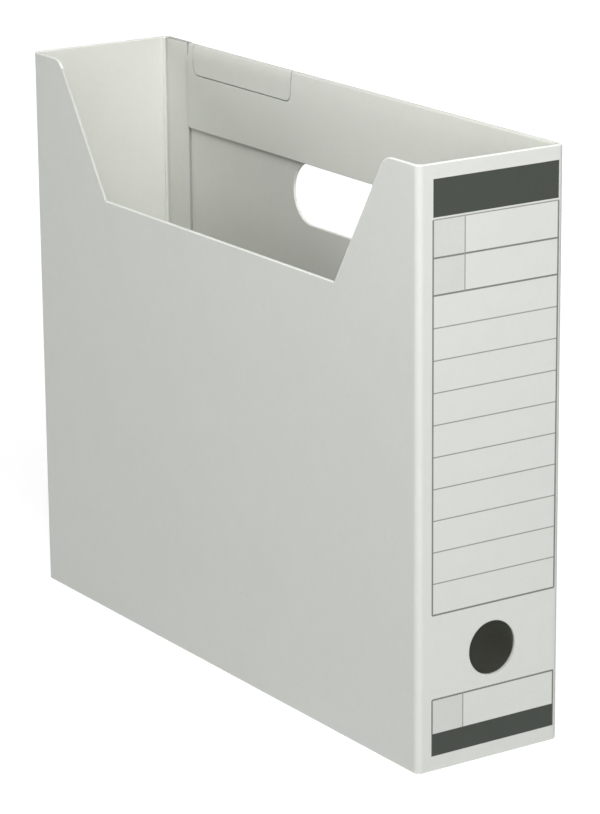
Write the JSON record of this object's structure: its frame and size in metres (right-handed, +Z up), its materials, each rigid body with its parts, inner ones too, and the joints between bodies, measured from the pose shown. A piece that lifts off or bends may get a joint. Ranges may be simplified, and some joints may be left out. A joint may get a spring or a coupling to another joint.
{
  "type": "file box",
  "caption": "Upright grey board file box with a low side cut-out, an inside hem, a hand hole, a finger hole in the ruled spine and a hinged tuck-in bottom.",
  "frame": {"origin": "centre of the underside, on the surface the box stands on", "axes": "+Z up; +Y along the length, from the spine to the back end; +X across the width, from the side with the low cut-out to the tall side with the hand hole"},
  "size_m": [0.075, 0.316, 0.264],
  "materials": {
    "grey_board": "matte",
    "grey_board_inside": "matte"
  },
  "bodies": {
    "box": {"spine_panel": "grey_board", "back_end_panel": "grey_board", "near_side_panel": "grey_board", "far_side_panel": "grey_board", "glue_flap": "grey_board_inside"},
    "hem": {"top_hem": "grey_board_inside"},
    "tab": {"hem_tab": "grey_board_inside"},
    "bottom": {"bottom_panel": "grey_board"},
    "flap_near": {"bottom_flap_near": "grey_board_inside"},
    "flap_front": {"bottom_flap_front": "grey_board_inside"},
    "flap_back": {"bottom_flap_back": "grey_board_inside"}
  },
  "joints": [
    {"name": "hem_crease", "type": "hinge", "parent": "box", "child": "hem", "pos_m": [0.0362, 0, 0.264], "axis": [0, 1, 0], "range_deg": [0, 178]},
    {"name": "tab_crease", "type": "hinge", "parent": "box", "child": "tab", "pos_m": [0.0362, 0, 0.264], "axis": [0, 1, 0], "range_deg": [0, 178]},
    {"name": "bottom_crease", "type": "hinge", "parent": "box", "child": "bottom", "pos_m": [0.0375, 0, 0.00125], "axis": [0, -1, 0], "range_deg": [0, 100]},
    {"name": "near_flap_crease", "type": "hinge", "parent": "bottom", "child": "flap_near", "pos_m": [-0.0341, 0, 0.00125], "axis": [0, 1, 0], "range_deg": [0, 88]},
    {"name": "front_flap_crease", "type": "hinge", "parent": "bottom", "child": "flap_front", "pos_m": [0, -0.1551, 0.00125], "axis": [-1, 0, 0], "range_deg": [0, 88]},
    {"name": "back_flap_crease", "type": "hinge", "parent": "bottom", "child": "flap_back", "pos_m": [0, 0.1551, 0.00125], "axis": [1, 0, 0], "range_deg": [0, 88]}
  ]
}
